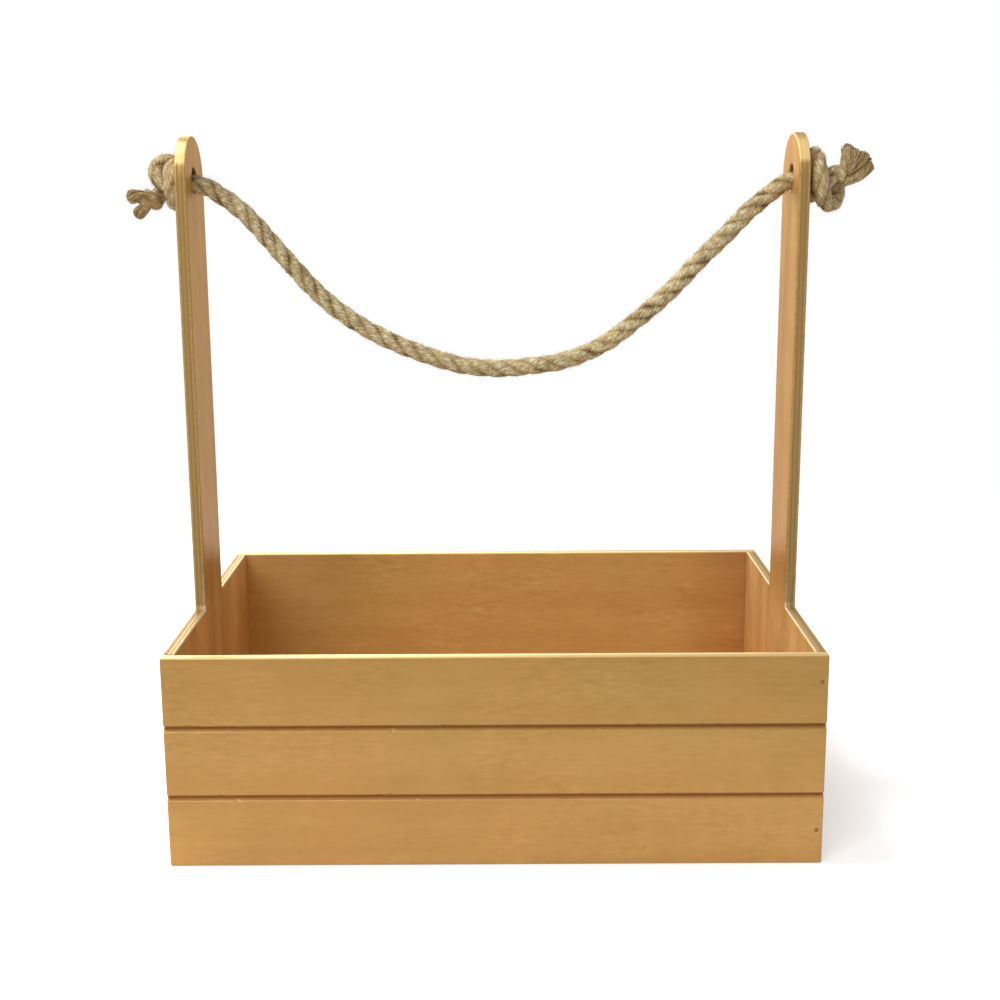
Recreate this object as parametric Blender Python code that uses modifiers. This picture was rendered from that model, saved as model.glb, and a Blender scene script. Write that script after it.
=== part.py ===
"""Plywood storage crate with two tall end uprights and a knotted rope handle.

Metres, +Z up, the front faces -Y. The origin is the middle of the base, level with the
bottom edges of the four walls.
"""
import math

import bmesh
import bpy
from mathutils import Matrix, Vector

# Box
LENGTH = 0.300
DEPTH = 0.200
WALL_HEIGHT = 0.100
PLY = 0.0055
ARRIS = 0.0008
SEAM = 0.0003

# V-grooves that divide the front and back panels into boards
BOARDS = 3
GROOVE_WIDTH = 0.0030
GROOVE_DEPTH = 0.0020

# Bottom panel
BOTTOM_RECESS = 0.0050

# Uprights, with a half-round top about the rope hole
UPRIGHT_WIDTH = 0.042
HOLE_HEIGHT = 0.310
HOLE_DIAMETER = 0.0125

# Panel nails
NAIL_LENGTH = 0.020
NAIL_DIAMETER = 0.0014
NAIL_HEAD_DIAMETER = 0.0026
NAIL_HEAD_THICKNESS = 0.0008
NAIL_POINT = 0.0022
NAIL_SUNK = 0.0003
NAIL_CLEARANCE = 0.0003
TOP_NAIL_INSET = 0.0125
LOW_NAIL_INSET = 0.0162
LONG_SIDE_NAIL_SPACING = 0.127
LONG_SIDE_NAIL_SHIFT = 0.0050
SHORT_SIDE_NAIL_SPACING = 0.100

# Rope
ROPE_DIAMETER = 0.0085
ROPE_HOLE_GAP = 0.0004
ROPE_POINT_SPACING = 0.0100
KNOT_ROPE_DIAMETER = 0.0072
KNOT_POINT_SPACING = 0.0025
SQUEEZE_LENGTH = 0.0040
RIGHT_KNOT_RISE = 0.0010
RISE_AT_PANEL = 0.125

# Where the rope hangs between the holes: share of the half span, drop below the hole's rope line
ROPE_ROUTE = [
    (-0.965, 0.0012), (-0.925, 0.0046), (-0.86, 0.0112), (-0.80, 0.0198), (-0.70, 0.0366),
    (-0.60, 0.0526), (-0.50, 0.0646), (-0.38, 0.0749), (-0.25, 0.0828), (-0.12, 0.0886),
    (0.0, 0.0906), (0.12, 0.0896), (0.25, 0.0866), (0.38, 0.0785), (0.50, 0.0657),
    (0.60, 0.0531), (0.70, 0.0380), (0.80, 0.0238), (0.86, 0.0148), (0.925, 0.0070),
    (0.965, 0.0025),
]

# The overhand knots drawn up against the uprights, in knot rope diameters out from the panel
# and away from the knot's axis, with the angle in degrees that the rope has gone round the axis:
# out of the hole, over in a bight, round the standing rope, and out under the bight
LEFT_KNOT_ROUTE = [
    (0.85, 0.00, 0), (1.50, 0.18, 0), (1.86, 0.90, 0), (1.62, 1.62, 3), (1.14, 2.02, 15),
    (0.70, 2.12, 35), (0.56, 1.96, 60), (0.56, 1.62, 95), (0.56, 1.30, 140), (0.56, 1.12, 190),
    (0.56, 1.10, 245), (0.56, 1.10, 290), (0.56, 1.10, 335), (0.66, 1.08, 370), (1.04, 1.06, 405),
    (1.66, 1.15, 440), (2.04, 1.24, 485),
]
RIGHT_KNOT_ROUTE = [
    (0.85, 0.00, 0), (1.70, 0.10, 0), (2.22, 0.55, 0), (2.36, 1.15, 3), (2.08, 1.62, 14),
    (1.58, 1.94, 32), (1.08, 2.18, 58), (0.78, 2.24, 88), (0.66, 2.02, 120), (0.60, 1.64, 155),
    (0.57, 1.36, 190), (0.56, 1.18, 230), (0.56, 1.12, 275), (0.56, 1.13, 320), (0.56, 1.13, 362),
    (0.76, 1.08, 398), (1.36, 1.06, 434), (1.98, 1.08, 468),
]
LEFT_KNOT_TURN = math.radians(30)
RIGHT_KNOT_TURN = math.radians(178)

# The rope's cut ends, in rope diameters from where the rope leaves the hole: outwards,
# backwards, upwards
LEFT_TAIL = [(1.82, -0.25, -0.92), (2.02, -0.42, -0.76), (2.20, -0.46, -0.70)]
RIGHT_TAIL = [(2.16, -0.92, 0.12)]

# Their opened strands: diameter at the root and at the cut end, and points as for the tails
LEFT_STRANDS = [
    (0.0054, 0.0084, [(2.05, -0.42, -0.66), (2.40, -0.50, -0.66), (2.78, -0.58, -0.70)]),
    (0.0056, 0.0076, [(1.98, -0.42, -0.82), (2.10, -0.45, -1.28), (2.48, -0.50, -1.62)]),
    (0.0050, 0.0065, [(2.05, -0.34, -0.66), (2.30, 0.05, -0.72), (2.52, 0.36, -0.86)]),
]
RIGHT_STRANDS = [
    (0.0060, 0.0058, [(2.12, -0.92, 0.10), (2.20, -0.92, 0.85), (2.30, -0.85, 1.74)]),
    (0.0060, 0.0082, [(2.16, -0.88, 0.10), (2.68, -0.85, 0.64), (3.24, -0.80, 1.20)]),
    (0.0060, 0.0060, [(2.12, -1.00, -0.12), (2.86, -1.10, 0.16), (3.46, -1.15, 0.78)]),
]

# Their worn ends, in shares of the end's diameter: how far on from it, and how thick there
STRAND_TIP = [(0.17, 0.94), (0.30, 0.80), (0.38, 0.56)]

# Facets
NAIL_SIDES = 12
TOP_ARC_POINTS = 24
HOLE_POINTS = 32
ARRIS_SEGMENTS = 2
ARRIS_ANGLE = math.radians(40)
ROPE_RESOLUTION = 3
ROUTE_STEPS = 24
SMOOTH_ANGLE = math.radians(50)
BOOLEAN_OVERRUN = 0.002
WELD_DISTANCE = 0.00001

PAINTED_FRONT = ((0.50, 0.28, 0.075, 1.0), 0.38, 0.55)
PAINTED_END = ((0.45, 0.27, 0.085, 1.0), 0.42, 0.50)
PAINTED_BOTTOM = ((0.30, 0.15, 0.040, 1.0), 0.48, 0.40)
PAINTED_NAIL = ((0.34, 0.21, 0.070, 1.0), 0.45, 0.60)
JUTE = ((0.46, 0.34, 0.18, 1.0), 0.92, 0.0)


def clear_scene():
    for old in list(bpy.data.objects):
        bpy.data.objects.remove(old, do_unlink=True)


def new_collection(name, hidden=False):
    collection = bpy.data.collections.new(name)
    bpy.context.scene.collection.children.link(collection)
    collection.hide_render = hidden
    return collection


def place_in(obj, collection):
    for old in list(obj.users_collection):
        old.objects.unlink(obj)
    collection.objects.link(obj)


def finish_material(obj, look):
    colour, roughness, metallic = look
    material = bpy.data.materials.new(obj.name)
    material.use_nodes = True
    shader = material.node_tree.nodes["Principled BSDF"]
    shader.inputs["Base Color"].default_value = colour
    shader.inputs["Roughness"].default_value = roughness
    shader.inputs["Metallic"].default_value = metallic
    material.diffuse_color = colour
    obj.data.materials.clear()
    obj.data.materials.append(material)


def round_edges(obj, width):
    bevel = obj.modifiers.new("sanded_edges", "BEVEL")
    bevel.width = width
    bevel.segments = ARRIS_SEGMENTS
    bevel.limit_method = "ANGLE"
    bevel.angle_limit = ARRIS_ANGLE


def cut(obj, cutter):
    boolean = obj.modifiers.new(cutter.name, "BOOLEAN")
    boolean.operation = "DIFFERENCE"
    boolean.object = cutter


def hide_cutter(cutter):
    cutter.hide_render = True
    cutter.display_type = "WIRE"


def board(name, size, centre, collection, look):
    """A flat panel with its scale applied and its edges sanded round."""
    bpy.ops.mesh.primitive_cube_add(size=1, location=centre)
    obj = bpy.context.object
    obj.name = name
    obj.data.transform(Matrix.Diagonal((*size, 1.0)))
    round_edges(obj, ARRIS)
    finish_material(obj, look)
    place_in(obj, collection)
    return obj


def groove_cutter(name, face_y, height, collection):
    """A four-sided bar along X whose inner half cuts one V-groove."""
    bpy.ops.mesh.primitive_cylinder_add(vertices=4, radius=1, depth=1, location=(0, face_y, height))
    obj = bpy.context.object
    obj.name = name
    obj.data.transform(Matrix.Rotation(math.pi / 2, 4, "Y"))
    stretch = (LENGTH + 2 * BOOLEAN_OVERRUN, GROOVE_DEPTH, GROOVE_WIDTH / 2)
    obj.data.transform(Matrix.Diagonal((*stretch, 1.0)))
    hide_cutter(obj)
    place_in(obj, collection)
    return obj


def long_panel(name, side, parts, cutters):
    """The front (side -1) or back (side +1) panel, which covers the end panels' edges."""
    centre = (0, side * (DEPTH - PLY) / 2, WALL_HEIGHT / 2)
    obj = board(name, (LENGTH, PLY, WALL_HEIGHT), centre, parts, PAINTED_FRONT)
    for k in range(1, BOARDS):
        height = WALL_HEIGHT * k / BOARDS
        cut(obj, groove_cutter(f"{name}_groove_{k}", side * DEPTH / 2, height, cutters))
    return obj


def end_outline():
    """Wall, shoulders, upright and half-round top of an end panel, as (Y, Z) points."""
    half_wall = DEPTH / 2 - PLY - SEAM
    half_upright = UPRIGHT_WIDTH / 2
    outline = [(half_upright, WALL_HEIGHT), (half_wall, WALL_HEIGHT), (half_wall, 0)]
    outline += [(-y, z) for y, z in reversed(outline)]
    for k in range(TOP_ARC_POINTS + 1):
        angle = math.pi - math.pi * k / TOP_ARC_POINTS
        outline.append((half_upright * math.cos(angle), HOLE_HEIGHT + half_upright * math.sin(angle)))
    return outline


def circle(radius, height, count):
    turn = 2 * math.pi / count
    return [(radius * math.cos(k * turn), height + radius * math.sin(k * turn)) for k in range(count)]


def flat_curve(name, outlines, thickness):
    curve = bpy.data.curves.new(name, "CURVE")
    curve.dimensions = "2D"
    curve.fill_mode = "BOTH"
    curve.extrude = thickness / 2
    for outline in outlines:
        spline = curve.splines.new("POLY")
        spline.points.add(len(outline) - 1)
        for point, (u, v) in zip(spline.points, outline):
            point.co = (u, v, 0, 1)
        spline.use_cyclic_u = True
    return bpy.data.objects.new(name, curve)


def curve_to_mesh(obj, collection):
    """Replace a curve object by its welded mesh, in the same place and under the same name."""
    bpy.context.scene.collection.objects.link(obj)
    bpy.context.view_layer.update()
    name = obj.name
    obj.name = name + "_curve"
    evaluated = obj.evaluated_get(bpy.context.evaluated_depsgraph_get())
    mesh = bpy.data.meshes.new_from_object(evaluated)
    work = bmesh.new()
    work.from_mesh(mesh)
    bmesh.ops.remove_doubles(work, verts=work.verts, dist=WELD_DISTANCE)
    bmesh.ops.recalc_face_normals(work, faces=work.faces)
    work.to_mesh(mesh)
    work.free()
    result = bpy.data.objects.new(name, mesh)
    result.matrix_world = obj.matrix_world
    bpy.data.objects.remove(obj, do_unlink=True)
    collection.objects.link(result)
    return result


def end_panel(name, side, parts):
    """The left (side -1) or right (side +1) end: wall and upright cut from one sheet."""
    hole = circle(HOLE_DIAMETER / 2, HOLE_HEIGHT, HOLE_POINTS)
    obj = flat_curve(name, [end_outline(), hole], PLY)
    obj.rotation_euler = (math.pi / 2, 0, math.pi / 2)
    obj.location = (side * (LENGTH - PLY) / 2, 0, 0)
    obj = curve_to_mesh(obj, parts)
    round_edges(obj, ARRIS)
    finish_material(obj, PAINTED_END)
    return obj


def bottom_panel(parts):
    """The base sheet, let in between the walls above their bottom edges."""
    inner = (LENGTH - 2 * PLY - 2 * SEAM, DEPTH - 2 * PLY - 2 * SEAM, PLY)
    centre = (0, 0, BOTTOM_RECESS + PLY / 2)
    return board("bottom_panel", inner, centre, parts, PAINTED_BOTTOM)


def nail_profile(grow):
    """Half section of a nail, head up, made larger all round by grow."""
    head = NAIL_HEAD_DIAMETER / 2 + grow
    shank = NAIL_DIAMETER / 2 + grow
    under_head = -NAIL_HEAD_THICKNESS - grow
    shoulder = NAIL_POINT - NAIL_LENGTH
    tip = -NAIL_LENGTH - grow
    top = BOOLEAN_OVERRUN if grow else 0.0
    return [(0, top), (head, top), (head, under_head / 2), (shank, under_head), (shank, shoulder), (0, tip)]


def turned(name, profile, collection):
    mesh = bpy.data.meshes.new(name)
    edges = [(k, k + 1) for k in range(len(profile) - 1)]
    mesh.from_pydata([(r, 0, z) for r, z in profile], edges, [])
    obj = bpy.data.objects.new(name, mesh)
    screw = obj.modifiers.new("turned", "SCREW")
    screw.steps = NAIL_SIDES
    screw.render_steps = NAIL_SIDES
    screw.use_merge_vertices = True
    screw.merge_threshold = WELD_DISTANCE
    collection.objects.link(obj)
    return obj


def nail(name, head_point, turn, outer, inner, parts, cutters):
    """A nail through the outer panel into the inner one's edge, with its pilot hole in both."""
    obj = turned(name, nail_profile(0.0), parts)
    hole = turned(name + "_hole", nail_profile(NAIL_CLEARANCE), cutters)
    for piece in (obj, hole):
        piece.location = head_point
        piece.rotation_euler = turn
    finish_material(obj, PAINTED_NAIL)
    hide_cutter(hole)
    cut(outer, hole)
    cut(inner, hole)


def drive_nails(panels, parts, cutters):
    """Four corner nails and two base nails on each long side, and two base nails on each end."""
    wall_x = (LENGTH - PLY) / 2
    base_z = BOTTOM_RECESS + PLY / 2
    face_y = DEPTH / 2 - NAIL_SUNK
    face_x = LENGTH / 2 - NAIL_SUNK
    heights = {"top": WALL_HEIGHT - TOP_NAIL_INSET, "low": LOW_NAIL_INSET}
    ends = {"left": -1, "right": 1}
    for long_side, y_sign in (("front", -1), ("back", 1)):
        turn = (-y_sign * math.pi / 2, 0, 0)
        outer = panels[long_side]
        for end, x_sign in ends.items():
            for level, height in heights.items():
                point = (x_sign * wall_x, y_sign * face_y, height)
                nail(f"nail_{long_side}_{end}_{level}", point, turn, outer, panels[end], parts, cutters)
            base_x = LONG_SIDE_NAIL_SHIFT + x_sign * LONG_SIDE_NAIL_SPACING / 2
            point = (base_x, y_sign * face_y, base_z)
            nail(f"nail_{long_side}_{end}_base", point, turn, outer, panels["bottom"], parts, cutters)
    for end, x_sign in ends.items():
        turn = (0, x_sign * math.pi / 2, 0)
        for side, y_sign in (("front", -1), ("back", 1)):
            point = (x_sign * face_x, y_sign * SHORT_SIDE_NAIL_SPACING / 2, base_z)
            nail(f"nail_{end}_{side}_base", point, turn, panels[end], panels["bottom"], parts, cutters)


def smooth_route(points, spacing):
    """Even points along the Catmull-Rom curve through the given points."""
    padded = [2 * points[0] - points[1], *points, 2 * points[-1] - points[-2]]
    dense = []
    for a, b, c, d in zip(padded, padded[1:], padded[2:], padded[3:]):
        for k in range(ROUTE_STEPS):
            t = k / ROUTE_STEPS
            bend = 2 * a - 5 * b + 4 * c - d + t * (3 * b - 3 * c + d - a)
            dense.append(b + 0.5 * t * (c - a + t * bend))
    dense.append(points[-1])
    travelled = [0.0]
    for p, q in zip(dense, dense[1:]):
        travelled.append(travelled[-1] + (q - p).length)
    count = max(2, round(travelled[-1] / spacing))
    route = []
    k = 0
    for step in range(count + 1):
        target = travelled[-1] * step / count
        while k < len(dense) - 2 and travelled[k + 1] < target:
            k += 1
        share = (target - travelled[k]) / (travelled[k + 1] - travelled[k])
        route.append(dense[k].lerp(dense[k + 1], share))
    return route


def tube(name, route, diameters):
    """A round tube along the route, whose diameter follows the given list."""
    curve = bpy.data.curves.new(name, "CURVE")
    curve.dimensions = "3D"
    curve.bevel_depth = diameters[0] / 2
    curve.bevel_resolution = ROPE_RESOLUTION
    curve.use_fill_caps = True
    spline = curve.splines.new("POLY")
    spline.points.add(len(route) - 1)
    for point, place, diameter in zip(spline.points, route, diameters):
        point.co = (*place, 1)
        point.radius = diameter / diameters[0]
    return bpy.data.objects.new(name, curve)


def rope_drop():
    """How far the rope's centre line sits below the hole's axis, resting in the hole."""
    return (HOLE_DIAMETER - ROPE_DIAMETER) / 2 - ROPE_HOLE_GAP


def rope_handle(pivot, parts):
    """The hanging stretch, from the middle of one hole to the middle of the other."""
    half_span = LENGTH / 2 - PLY
    end = LENGTH / 2 - PLY / 2 - SEAM / 2
    level = -rope_drop()
    mouths = [Vector((x, 0, level)) for x in (-half_span, half_span)]
    hanging = [Vector((share * half_span, 0, level - drop)) for share, drop in ROPE_ROUTE]
    route = smooth_route([mouths[0], *hanging, mouths[1]], ROPE_POINT_SPACING)
    route = [Vector((-end, 0, level)), *route, Vector((end, 0, level))]
    obj = tube("rope_handle", route, [ROPE_DIAMETER] * len(route))
    parts.objects.link(obj)
    obj.parent = pivot
    finish_material(obj, JUTE)


def knot_place(side, out, back, up):
    """A point beside the outer face of an end panel, in the pivot's frame."""
    return Vector((side * (LENGTH / 2 + out), back, up - rope_drop()))


def knot_points(side, route, turn, rise, tail):
    """The rope from inside the hole, round the overhand knot and out to its cut end."""
    points = [knot_place(side, -PLY / 2 + SEAM / 2, 0, 0), knot_place(side, 0, 0, rise * RISE_AT_PANEL)]
    for out, radius, angle in route:
        around = turn + math.radians(angle)
        back = KNOT_ROPE_DIAMETER * radius * math.sin(around)
        up = KNOT_ROPE_DIAMETER * radius * math.cos(around) + rise
        points.append(knot_place(side, KNOT_ROPE_DIAMETER * out, back, up))
    points += [tail_place(side, place) for place in tail]
    return points


def tail_place(side, place):
    """A point of a rope's cut end, given in rope diameters."""
    return knot_place(side, *(ROPE_DIAMETER * v for v in place))


def squeezed(route):
    """The rope is full size in the hole and pulled thinner in the knot."""
    sizes = [ROPE_DIAMETER]
    travelled = -PLY / 2
    for p, q in zip(route, route[1:]):
        travelled += (q - p).length
        share = min(1.0, max(0.0, travelled) / SQUEEZE_LENGTH)
        sizes.append(ROPE_DIAMETER + share * (KNOT_ROPE_DIAMETER - ROPE_DIAMETER))
    return sizes


def knot(name, side, points, strands, pivot, parts, cutters):
    """An overhand knot with its cut end opened into strands, joined to one solid."""
    route = smooth_route(points, KNOT_POINT_SPACING)
    obj = curve_to_mesh(tube(name, route, squeezed(route)), parts)
    obj.parent = pivot
    for k, (root, end, places) in enumerate(strands, start=1):
        line = smooth_route([tail_place(side, place) for place in places], KNOT_POINT_SPACING)
        last = len(line) - 1
        sizes = [root + (end - root) * n / last for n in range(last + 1)]
        onward = (line[last] - line[last - 1]).normalized()
        line += [line[last] + onward * (end * reach) for reach, _ in STRAND_TIP]
        sizes += [end * share for _, share in STRAND_TIP]
        piece = curve_to_mesh(tube(f"{name}_strand_{k}", line, sizes), cutters)
        piece.parent = pivot
        hide_cutter(piece)
        union = obj.modifiers.new(piece.name, "BOOLEAN")
        union.operation = "UNION"
        union.object = piece
    finish_material(obj, JUTE)


def smooth_shading(parts):
    for obj in parts.objects:
        if obj.type == "MESH":
            obj.data.shade_smooth()
            obj.data.set_sharp_from_angle(angle=SMOOTH_ANGLE)


def build():
    clear_scene()
    parts = new_collection("storage_crate")
    cutters = new_collection("cutters", hidden=True)
    panels = {
        "front": long_panel("front_panel", -1, parts, cutters),
        "back": long_panel("back_panel", 1, parts, cutters),
        "left": end_panel("left_end_panel", -1, parts),
        "right": end_panel("right_end_panel", 1, parts),
        "bottom": bottom_panel(parts),
    }
    drive_nails(panels, parts, cutters)
    pivot = bpy.data.objects.new("rope_pivot", None)
    pivot.location = (0, 0, HOLE_HEIGHT)
    parts.objects.link(pivot)
    rope_handle(pivot, parts)
    left = knot_points(-1, LEFT_KNOT_ROUTE, LEFT_KNOT_TURN, 0, LEFT_TAIL)
    right = knot_points(1, RIGHT_KNOT_ROUTE, RIGHT_KNOT_TURN, RIGHT_KNOT_RISE, RIGHT_TAIL)
    knot("left_knot", -1, left, LEFT_STRANDS, pivot, parts, cutters)
    knot("right_knot", 1, right, RIGHT_STRANDS, pivot, parts, cutters)
    smooth_shading(parts)


build()
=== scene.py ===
"""Looks of the plywood storage crate with a rope handle. Metres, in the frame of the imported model."""
import math

import bmesh
import bpy
import numpy as np
from mathutils import Matrix, Vector, noise
from mathutils.geometry import delaunay_2d_cdt


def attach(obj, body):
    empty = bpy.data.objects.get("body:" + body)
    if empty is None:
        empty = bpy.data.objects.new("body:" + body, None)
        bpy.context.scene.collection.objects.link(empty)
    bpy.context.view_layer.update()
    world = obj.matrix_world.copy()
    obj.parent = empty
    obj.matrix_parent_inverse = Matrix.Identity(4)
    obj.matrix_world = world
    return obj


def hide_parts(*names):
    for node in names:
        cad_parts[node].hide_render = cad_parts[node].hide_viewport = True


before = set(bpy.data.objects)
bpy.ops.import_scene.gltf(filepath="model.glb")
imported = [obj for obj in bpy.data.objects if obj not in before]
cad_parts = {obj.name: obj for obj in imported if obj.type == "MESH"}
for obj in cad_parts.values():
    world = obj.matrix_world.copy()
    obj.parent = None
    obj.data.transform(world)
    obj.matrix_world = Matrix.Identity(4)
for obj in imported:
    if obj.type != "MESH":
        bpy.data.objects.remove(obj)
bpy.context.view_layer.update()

# Crate sizes, as in the CAD source
LENGTH = 0.300
DEPTH = 0.200
WALL_HEIGHT = 0.100
PLY = 0.0055
ARRIS = 0.0008
SEAM = 0.0003
BOARDS = 3
GROOVE_WIDTH = 0.0030
GROOVE_DEPTH = 0.0020
BOTTOM_RECESS = 0.0050
UPRIGHT_WIDTH = 0.042
HOLE_HEIGHT = 0.310
HOLE_DIAMETER = 0.0125
NAIL_SIZES = {"Head Diameter": 0.0026, "Shank Diameter": 0.0014, "Length": 0.020}
NAIL_SUNK = 0.0003
TOP_NAIL_INSET = 0.0125
LOW_NAIL_INSET = 0.0162
LONG_SIDE_NAIL_SPACING = 0.127
LONG_SIDE_NAIL_SHIFT = 0.0050
SHORT_SIDE_NAIL_SPACING = 0.100

# The middles of the sheets, and half the room between the walls
WALL_X = (LENGTH - PLY) / 2
WALL_Y = (DEPTH - PLY) / 2
BOTTOM_Z = BOTTOM_RECESS + PLY / 2
ROOM_X = LENGTH / 2 - PLY - SEAM
ROOM_Y = DEPTH / 2 - PLY - SEAM

# How finely the sheets are divided: loops in from the edge in arrises, and lines along the grooves
# in half groove widths
BORDER_STEP = 0.003
FACE_STEP = 0.004
ARRIS_LOOPS = (0.0, 0.06, 0.18, 0.38, 0.66, 1.0)
FACE_LOOPS = (1.7, 4.0)
EDGE_ROWS = 5
ROUND_SIDES = 48
GROOVE_STEP = 0.0008
GROOVE_LINES = (-1.5, -1.2, -1.05, -0.9, -0.7, -0.45, -0.2, 0, 0.2, 0.45, 0.7, 0.9, 1.05, 1.2, 1.5)
SHOULDER_LINES = (-2.1, -1.8, 1.8, 2.1)
SHOULDER_STRIDE = 4

# The chips along the grooves' edges: how fast their noise changes across, upwards and from groove to
# groove, and where in it they start. Then the rounding of the grooves' bottoms and lips. Widths are in
# half groove widths
CHIP_PATTERN = (420, 300, 90)
CHIP_FROM = 0.58
CHIP_MOST = 0.10
CHIP_GROWTH = 2.5
EDGE_WAVER = 0.04
GROOVE_ROUNDING = 0.012
LIP_FADE = (1.2, 1.5)

# The dent in the paint round a nail head
DENT_DEPTH = 0.00036
DENT_FLOOR = 0.0008
DENT_EDGE = 0.0019
DENT_RINGS = (0.0005, 0.0008, 0.0011, 0.0014, 0.0017, 0.0020, 0.0025)
DENT_RING_SIDES = 20

# How fast a rim's pale tone, wear together with a painted highlight, fades over the face, and how much
# of it is on the edge itself
RUB_HIGHLIGHT_FADE = 0.0007
EDGE_RUB_HIGHLIGHT = 0.4

# Painted shade on the uprights' round tops, in the darker tone of bare ply: how far down, and how much of it
CROWN_DEPTH = 0.0068
CROWN_SHADE = 0.68

# A nail's head from its middle out and down, as shares of its radius and heights, and its shank
HEAD_SHARES = (0.0, 0.55, 0.9, 1.0, 0.92)
HEAD_HEIGHTS = (0.00002, 0.0, -0.00008, -0.00022, -0.00045)
SHANK_HEIGHTS = (-0.0009, -0.0012)
POINT_LENGTH = 0.0022
POINT_RADIUS = 0.00001

# Rope sizes. In a knot the drawn rope thins from the first to the second distance along it
ROPE_DIAMETER = 0.0085
KNOT_ROPE_DIAMETER = 0.0072
KNOT_SKIN_DIAMETER = 0.0081
KNOT_THINNING = (0.003, 0.008)
RIGHT_KNOT_RISE = 0.0010
RISE_AT_PANEL = 0.125
ROPE_LINE = 0.3084
CURVE_STEPS = 48
RING_SPACING = 0.00042
STRAND_SPACING = 0.0006
RING_POINTS = 84
LAY_LENGTH = 0.029
KNOT_LAY_START = 0.011

# Turns of a knot press on each other where they are this far apart along the rope, and nearer than
# this many rope diameters
TURN_APART = 0.014
PRESS_REACH = 1.05
PRESS_STRIDE = 6
PRESS_GAP = 0.00005
PANEL_GAP = 0.0001

# Stray fibres on a square metre of skin
ROPE_FIBRES = 640000.0
STRAND_FIBRES = 60000.0

# The route's points, as in the CAD source: share of the half span, drop below the rope line
ROPE_ROUTE = [
    (-0.965, 0.0012), (-0.925, 0.0046), (-0.86, 0.0112), (-0.80, 0.0198), (-0.70, 0.0366),
    (-0.60, 0.0526), (-0.50, 0.0646), (-0.38, 0.0749), (-0.25, 0.0828), (-0.12, 0.0886),
    (0.0, 0.0906), (0.12, 0.0896), (0.25, 0.0866), (0.38, 0.0785), (0.50, 0.0657),
    (0.60, 0.0531), (0.70, 0.0380), (0.80, 0.0238), (0.86, 0.0148), (0.925, 0.0070),
    (0.965, 0.0025),
]

# The overhand knots drawn up against the uprights, in knot rope diameters out from the panel and
# away from the knot's axis, and the angle in degrees that the rope has gone round the axis
LEFT_KNOT_ROUTE = [
    (0.85, 0.00, 0), (1.50, 0.18, 0), (1.86, 0.90, 0), (1.62, 1.62, 3), (1.14, 2.02, 15),
    (0.70, 2.12, 35), (0.56, 1.96, 60), (0.56, 1.62, 95), (0.56, 1.30, 140), (0.56, 1.12, 190),
    (0.56, 1.10, 245), (0.56, 1.10, 290), (0.56, 1.10, 335), (0.66, 1.08, 370), (1.04, 1.06, 405),
    (1.66, 1.15, 440), (2.04, 1.24, 485),
]
RIGHT_KNOT_ROUTE = [
    (0.85, 0.00, 0), (1.70, 0.10, 0), (2.22, 0.55, 0), (2.36, 1.15, 3), (2.08, 1.62, 14),
    (1.58, 1.94, 32), (1.08, 2.18, 58), (0.78, 2.24, 88), (0.66, 2.02, 120), (0.60, 1.64, 155),
    (0.57, 1.36, 190), (0.56, 1.18, 230), (0.56, 1.12, 275), (0.56, 1.13, 320), (0.56, 1.13, 362),
    (0.76, 1.08, 398), (1.36, 1.06, 434), (1.98, 1.08, 468),
]
LEFT_KNOT_TURN = math.radians(30)
RIGHT_KNOT_TURN = math.radians(178)

# The cut ends, in rope diameters from where the rope leaves the hole: outwards, backwards, upwards
LEFT_TAIL = [(1.82, -0.25, -0.92), (2.02, -0.42, -0.76), (2.20, -0.46, -0.70)]
RIGHT_TAIL = [(2.16, -0.92, 0.12)]

# Their opened strands: diameter at the root and at the cut end, how much painted shade darkens them, and
# points as for the tails. The right end's last two are yarns that have spread into the fork between
# its upper two strands, and yarns darkened with painted shade deep in the fold between its lower two.
LEFT_STRANDS = [
    (0.0054, 0.0084, 0.0, [(2.05, -0.42, -0.66), (2.40, -0.50, -0.66), (2.78, -0.58, -0.70)]),
    (0.0056, 0.0076, 0.0, [(1.98, -0.42, -0.82), (2.10, -0.45, -1.28), (2.48, -0.50, -1.62)]),
    (0.0050, 0.0065, 0.0, [(2.05, -0.34, -0.66), (2.30, 0.05, -0.72), (2.52, 0.36, -0.86)]),
]
RIGHT_STRANDS = [
    (0.0060, 0.0058, 0.0, [(2.12, -0.92, 0.10), (2.20, -0.92, 0.85), (2.30, -0.85, 1.74)]),
    (0.0060, 0.0082, 0.0, [(2.16, -0.88, 0.10), (2.68, -0.85, 0.64), (3.24, -0.80, 1.20)]),
    (0.0060, 0.0060, 0.0, [(2.12, -1.00, -0.12), (2.86, -1.10, 0.16), (3.46, -1.15, 0.78)]),
    (0.0036, 0.0074, 0.0, [(2.16, -0.90, 0.12), (2.42, -0.88, 0.80), (2.72, -0.84, 1.42)]),
    (0.0016, 0.0030, 1.5, [(2.26, -1.24, 0.24), (2.78, -1.32, 0.56), (3.26, -1.34, 0.98)]),
]
TIP_REACH = 0.38
TIP_POINTS = 4
LEFT_FRAY = {"Untidiness": 0.00022, "Stray": 0.0, "Seed": 5}
RIGHT_FRAY = {"Untidiness": 0.0006, "Stray": 0.45, "Seed": 11}
KNOTS = (
    ("left", -1, LEFT_KNOT_ROUTE, LEFT_KNOT_TURN, 0, LEFT_TAIL, LEFT_STRANDS, LEFT_FRAY),
    ("right", 1, RIGHT_KNOT_ROUTE, RIGHT_KNOT_TURN, RIGHT_KNOT_RISE, RIGHT_TAIL, RIGHT_STRANDS, RIGHT_FRAY),
)

# The photograph's view, solved from the crate's own edges. Angles in degrees
CAMERA_PLACE = (0.00459, -0.72226, 0.30171)
CAMERA_YAW = -0.15
CAMERA_PITCH = 11.8
CAMERA_ROLL = -0.34
CAMERA_LENS = 52.39
CAMERA_SENSOR = 36

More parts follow.
